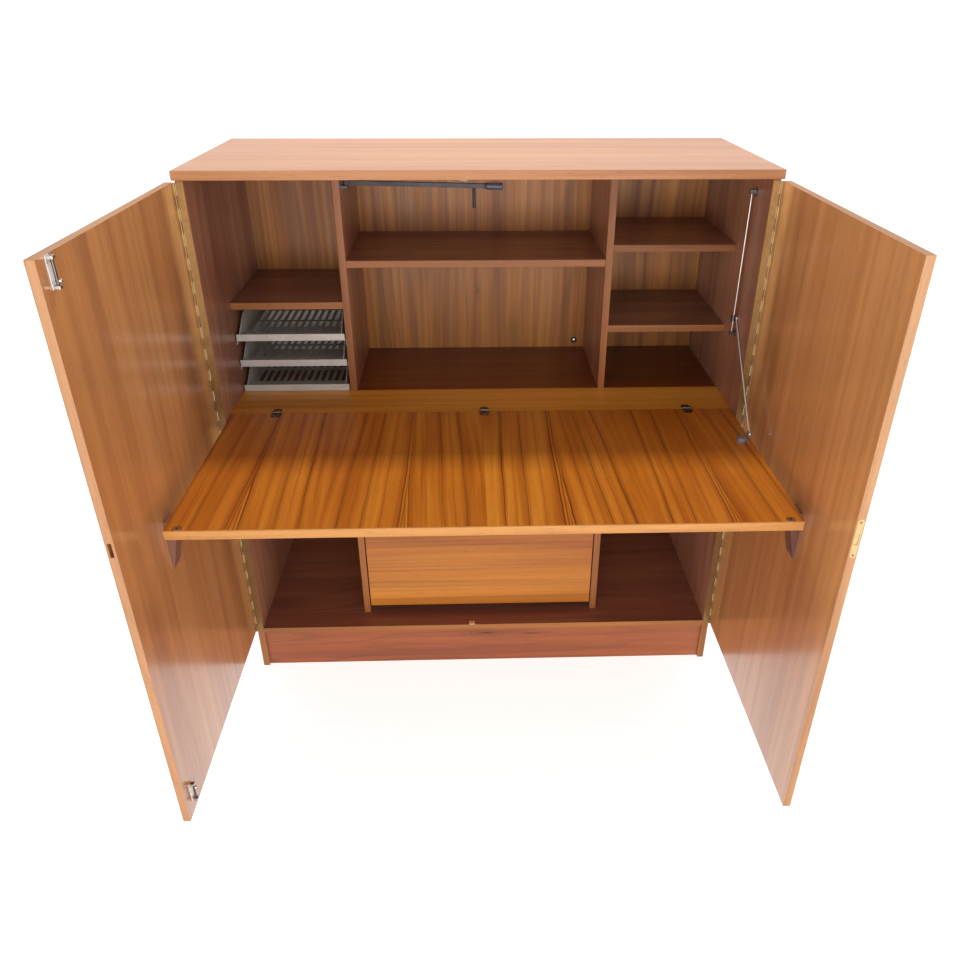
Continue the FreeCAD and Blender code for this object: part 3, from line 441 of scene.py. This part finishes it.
# the two keeps are alike, but the lower keep is painted bright and the upper one dark: painted light and
# shade by where each sits; a bolt's plate is nickel below its loops, and its knob is bright
HALF_HEIGHT = 0.5
PLATE_TOP_X = -0.5945
SHAFT_TOP_X = -0.5872
tipped("bolt_keeps", BOLT_METAL, ROD, lambda p: p.center.z < HALF_HEIGHT)
tipped("bolt_plates", GUIDE_ROD, NICKEL, lambda p: p.center.x < PLATE_TOP_X)
for bolt in ("upper_bolt", "lower_bolt"):
    tipped(bolt, BOLT_METAL, STEEL, lambda p: p.center.x > SHAFT_TOP_X)
dress(["lamp_switch", "cable_grommet", "floor_glides"], BLACK)

# ------------------------------------------------------------------ screws and nails


def spot(x, depth, z):
    """A point given as the CAD gives it: millimetres, depth from the front of the carcase."""
    return Vector((x, FRONT + depth, z)) * MM


def half_head(mesh, radius, height, gap, side, turn):
    """One of the two raised halves that a screw's slot leaves."""
    start = math.asin(gap / radius)
    corners = 9
    ring = []
    for i in range(corners):
        a = start + (math.pi - 2 * start) * i / (corners - 1)
        ring.append(Vector((radius * math.cos(a), side * radius * math.sin(a), 0)))
    spin = Matrix.Rotation(turn, 3, "Z")
    levels = []
    for scale, z in ((1.0, 0.0), (0.97, height * 0.6), (0.80, height)):
        level = []
        for p in ring:
            q = Vector((p.x * scale, side * gap + (p.y - side * gap) * scale, z))
            level.append(mesh.verts.new(spin @ q))
        levels.append(level)
    for low, high in zip(levels, levels[1:]):
        for i in range(corners):
            j = (i + 1) % corners
            quad = (low[i], low[j], high[j], high[i])
            mesh.faces.new(quad if side > 0 else quad[::-1])
    mesh.faces.new(levels[-1] if side > 0 else levels[-1][::-1])
    mesh.faces.new(levels[0][::-1] if side > 0 else levels[0])


def floor_disc(mesh, radius, height):
    """The low disc at the bottom of the slot."""
    sides = 20
    rings = [[mesh.verts.new((radius * math.cos(2 * math.pi * i / sides),
                              radius * math.sin(2 * math.pi * i / sides), z)) for i in range(sides)]
             for z in (-0.2 * MM, height)]
    for i in range(sides):
        j = (i + 1) % sides
        mesh.faces.new((rings[0][i], rings[0][j], rings[1][j], rings[1][i]))
    mesh.faces.new(rings[1])
    mesh.faces.new(rings[0][::-1])


def fasten(name, body, material, places, out, radius, height, slotted=True):
    """A row of screw or nail heads in one piece. Each looks along out and stands this high."""
    mesh = bmesh.new()
    frame_turn = Vector(out).to_track_quat("Z", "Y").to_matrix().to_4x4()
    for number, place in enumerate(places):
        head = bmesh.new()
        if slotted:
            for side in (1, -1):
                half_head(head, radius * MM, height * MM, radius * 0.16 * MM, side, 0.7 + 1.9 * number)
            floor_disc(head, radius * 0.9 * MM, height * 0.25 * MM)
        else:
            floor_disc(head, radius * MM, height * MM)
        head.transform(Matrix.Translation(place) @ frame_turn)
        part = bpy.data.meshes.new(name + "_part")
        head.to_mesh(part)
        head.free()
        mesh.from_mesh(part)
        bpy.data.meshes.remove(part)
    data = bpy.data.meshes.new(name)
    mesh.to_mesh(data)
    mesh.free()
    data.materials.append(material)
    piece = bpy.data.objects.new(name, data)
    scene.collection.objects.link(piece)
    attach(piece, body)
    return piece


def steps(low, high, count):
    return [low + (high - low) * i / (count - 1) for i in range(count)]


HINGE_SCREW_Z = steps(145.0, 1201.0, 12)
CARCASE_HINGE_SCREW = (584.5, -1.2)
DOOR_HINGE_SCREW = (604.5, -2.6)
for side, label in ((-1, "left"), (1, "right")):
    fasten(label + "_carcase_hinge_screws", "carcase", BRASS,
           [spot(side * CARCASE_HINGE_SCREW[0], CARCASE_HINGE_SCREW[1], z) for z in HINGE_SCREW_Z],
           (0, -1, 0), 2.6, 0.5)
    fasten(label + "_door_hinge_screws", label + "_door_set", BRASS,
           [spot(side * DOOR_HINGE_SCREW[0], DOOR_HINGE_SCREW[1], z) for z in HINGE_SCREW_Z],
           (0, 1, 0), 2.4, 0.5)

LEAF_HINGES = (-473.0, 3.0, 474.0)
LEAF_HINGE_HOLES = ((-6.0, 10.0), (6.0, 10.0), (0.0, 18.0))
LEAF_HINGE_LINE = 43.5
LEAF_HINGE_TOP = 719.1
for body, way, label in (("carcase", 1, "fixed"), ("leaf", -1, "moving")):
    fasten("leaf_hinge_%s_screws" % label, body, STEEL,
           [spot(x + dx, LEAF_HINGE_LINE + way * out, LEAF_HINGE_TOP)
            for x in LEAF_HINGES for dx, out in LEAF_HINGE_HOLES],
           (0, 0, 1), 1.9, 0.5)
CATCH_X = (-552, 552)
CATCH_DEPTH = -452.0
CATCH_TOP = 718.7
fasten("leaf_catch_screws", "leaf", BOLT_METAL,
       [spot(x, CATCH_DEPTH, CATCH_TOP) for x in CATCH_X], (0, 0, 1), 2.6, 0.7)
BOLT_PLATE_FACE = -595.3
BOLT_LINE = -563.0
BOLT_SCREW_OFFSET = 4.3
BOLT_SCREW_Z = (156, 183, 1188, 1215)
fasten("bolt_plate_screws", "left_door_set", STEEL,
       [spot(BOLT_PLATE_FACE, BOLT_LINE + side * BOLT_SCREW_OFFSET, z)
        for z in BOLT_SCREW_Z for side in (-1, 1)],
       (1, 0, 0), 1.2, 0.3)
KEEP_SCREW_X = (-39.1, -28.5)
KEEP_SCREW_DEPTH = 6.8
for label, z, way in (("lower", 130.5, 1), ("upper", 1226.5, -1)):
    fasten(label + "_keep_screws", "carcase", STEEL,
           [spot(x, KEEP_SCREW_DEPTH, z) for x in KEEP_SCREW_X], (0, 0, way), 1.3, 0.3)
LOCK_SCREW_X = 604.25
LOCK_FACE_DEPTH = -595.7
LOCK_SCREW_Z = (735, 799)
fasten("lock_face_screws", "right_door_set", LOCK_BRASS,
       [spot(LOCK_SCREW_X, LOCK_FACE_DEPTH, z) for z in LOCK_SCREW_Z], (0, -1, 0), 2.4, 0.1)
STAY_BRACKET_FACE = 575.5
STAY_ROD_DEPTH = 93.0
STAY_SCREW_Z = (877.5, 890.5, 1182.2, 1195.8)
fasten("stay_bracket_screws", "carcase", STEEL,
       [spot(STAY_BRACKET_FACE, STAY_ROD_DEPTH, z) for z in STAY_SCREW_Z], (-1, 0, 0), 1.5, 0.4)
# nails along the top and the bottom of the back panel, and up the four boards it is nailed to
BACK_FACE = 484.0
NAIL_COLUMNS = (-567, -312, 291, 567)
NAIL_ROWS = (121, 1218)
BACK_NAILS = [(x, z) for x in steps(NAIL_COLUMNS[0], NAIL_COLUMNS[-1], 11) for z in NAIL_ROWS]
BACK_NAILS += [(x, z) for x in NAIL_COLUMNS for z in steps(215, 1135, 9)]
fasten("back_panel_nails", "carcase", BOLT_METAL,
       [spot(x, BACK_FACE, z) for x, z in BACK_NAILS], (0, 1, 0), 1.8, 0.4, slotted=False)

# ------------------------------------------------------------------ stage, light and camera


def stage_floor():
    bpy.ops.mesh.primitive_plane_add(size=160, location=(0, 0, 0))
    plane = bpy.context.object
    plane.name = "stage_floor"
    g = Graph("stage_floor_matt")
    tone = g.span(g.noise(g.coord, 40.0, 3.0), 0.3, 0.7, 0.58, 0.60)
    g.shader(Base_Color=g.vec(tone, tone, tone), Roughness=0.9, Specular_IOR_Level=0.1,
             Emission_Color=(1.0, 1.0, 1.0, 1.0), Emission_Strength=0.75)
    plane.data.materials.append(g.mat)


def area(name, at, aim, size, power, glossy=True):
    light = bpy.data.lights.new(name, "AREA")
    light.shape = "RECTANGLE"
    light.size, light.size_y = size
    light.energy = power
    holder = bpy.data.objects.new(name, light)
    scene.collection.objects.link(holder)
    holder.location = at
    holder.rotation_euler = (Vector(aim) - Vector(at)).to_track_quat("-Z", "Y").to_euler()
    holder.visible_glossy = glossy


def sky(horizon, zenith):
    """A pale studio, brighter near the horizon than overhead."""
    world = bpy.data.worlds.new("studio")
    scene.world = world
    world.use_nodes = True
    tree = world.node_tree
    coord = tree.nodes.new("ShaderNodeTexCoord")
    split = tree.nodes.new("ShaderNodeSeparateXYZ")
    ramp = tree.nodes.new("ShaderNodeMapRange")
    ramp.clamp = True
    tree.links.new(coord.outputs["Generated"], split.inputs[0])
    tree.links.new(split.outputs[2], ramp.inputs[0])
    for socket, value in zip(ramp.inputs[1:5], (0.35, 0.9, horizon, zenith)):
        socket.default_value = value
    background = tree.nodes["Background"]
    background.inputs[0].default_value = (1.0, 1.0, 1.0, 1.0)
    tree.links.new(ramp.outputs[0], background.inputs[1])


PITCH = 30.700
YAW = -1.979
ROLL = 0.187
CAMERA_SPOT = (-21.34, -1723.16, 1504.64)
LENS = 31.171
SHIFT = (-0.02062, 0.03004)


def camera():
    data = bpy.data.cameras.new("camera")
    holder = bpy.data.objects.new("camera", data)
    scene.collection.objects.link(holder)
    pitch, yaw, roll = (math.radians(a) for a in (PITCH, YAW, ROLL))
    right = Vector((math.cos(yaw), math.sin(yaw), 0))
    ahead = Vector((-math.sin(yaw), math.cos(yaw), 0))
    up = math.sin(pitch) * ahead + math.cos(pitch) * Vector((0, 0, 1))
    look = math.cos(pitch) * ahead - math.sin(pitch) * Vector((0, 0, 1))
    turned_right = math.cos(roll) * right + math.sin(roll) * up
    turned_up = -math.sin(roll) * right + math.cos(roll) * up
    place = Matrix((turned_right, turned_up, -look)).transposed().to_4x4()
    place.translation = spot(*CAMERA_SPOT)
    holder.matrix_world = place
    data.sensor_width = 36.0
    data.lens = LENS
    data.shift_x, data.shift_y = SHIFT
    data.clip_end = 200.0
    data.dof.use_dof = False
    scene.camera = holder


stage_floor()
sky(1.08, 0.45)
area("overhead_light", (0.0, 0.80, 3.1), (0.0, -0.1, 0.7), (0.45, 0.30), 36.0, glossy=False)
area("front_fill", (0.0, -3.4, 0.65), (0.0, 0.3, 0.65), (3.2, 1.1), 60.0)
camera()

scene.view_settings.view_transform = "Standard"
scene.view_settings.look = "None"
scene.view_settings.exposure = 0.0
scene.view_settings.gamma = 1.0
